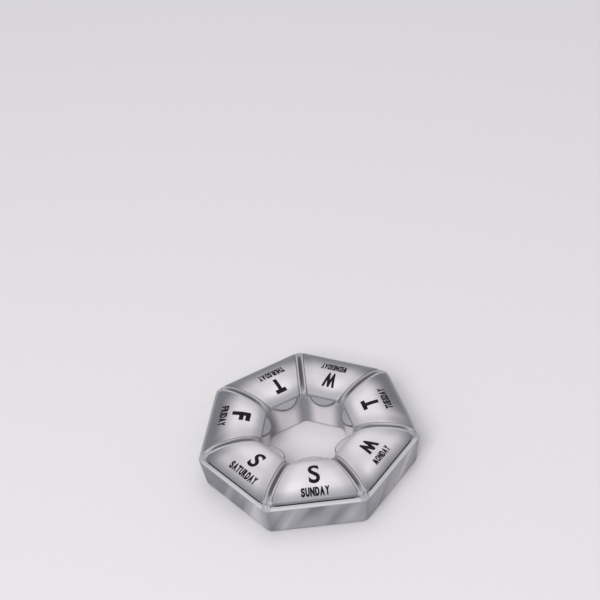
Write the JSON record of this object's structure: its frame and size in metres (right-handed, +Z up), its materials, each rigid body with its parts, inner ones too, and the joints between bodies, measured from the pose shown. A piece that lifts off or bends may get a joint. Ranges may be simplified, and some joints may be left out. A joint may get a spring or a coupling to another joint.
{
  "type": "weekly pill box",
  "caption": "Flat seven-sided ring pill organiser with a pocket for each day and arched hinged lids, lifted by thumb tabs over the open middle.",
  "frame": {"origin": "on the surface that the box stands on, below the middle of its bounding box; the ring's own middle axis lies 2.17 mm from there towards -Y", "axes": "+X across the widest pair of corners, Sunday's straight side towards -Y, +Z up"},
  "size_m": [0.0894, 0.0872, 0.0196],
  "materials": {
    "tray_plastic": "satin silver-grey smoky plastic",
    "lid_plastic": "satin pale silver plastic, printed in near-black"
  },
  "bodies": {
    "tray": {"tray": "tray_plastic"},
    "lid_sunday": {"lid_sunday": "lid_plastic"},
    "lid_monday": {"lid_monday": "lid_plastic"},
    "lid_tuesday": {"lid_tuesday": "lid_plastic"},
    "lid_wednesday": {"lid_wednesday": "lid_plastic"},
    "lid_thursday": {"lid_thursday": "lid_plastic"},
    "lid_friday": {"lid_friday": "lid_plastic"},
    "lid_saturday": {"lid_saturday": "lid_plastic"}
  },
  "joints": [
    {"name": "sunday_lid_hinge", "type": "hinge", "parent": "tray", "child": "lid_sunday", "pos_m": [0, -0.04076, 0.0156], "axis": [1, 0, 0], "range_deg": [0, 110]},
    {"name": "monday_lid_hinge", "type": "hinge", "parent": "tray", "child": "lid_monday", "pos_m": [0.03017, -0.02623, 0.0156], "axis": [0.6235, 0.7818, 0], "range_deg": [0, 110]},
    {"name": "tuesday_lid_hinge", "type": "hinge", "parent": "tray", "child": "lid_tuesday", "pos_m": [0.03763, 0.00642, 0.0156], "axis": [-0.2225, 0.9749, 0], "range_deg": [0, 110]},
    {"name": "wednesday_lid_hinge", "type": "hinge", "parent": "tray", "child": "lid_wednesday", "pos_m": [0.01675, 0.03261, 0.0156], "axis": [-0.901, 0.4339, 0], "range_deg": [0, 110]},
    {"name": "thursday_lid_hinge", "type": "hinge", "parent": "tray", "child": "lid_thursday", "pos_m": [-0.01675, 0.03261, 0.0156], "axis": [-0.901, -0.4339, 0], "range_deg": [0, 110]},
    {"name": "friday_lid_hinge", "type": "hinge", "parent": "tray", "child": "lid_friday", "pos_m": [-0.03763, 0.00642, 0.0156], "axis": [-0.2225, -0.9749, 0], "range_deg": [0, 110]},
    {"name": "saturday_lid_hinge", "type": "hinge", "parent": "tray", "child": "lid_saturday", "pos_m": [-0.03017, -0.02623, 0.0156], "axis": [0.6235, -0.7818, 0], "range_deg": [0, 110]}
  ]
}
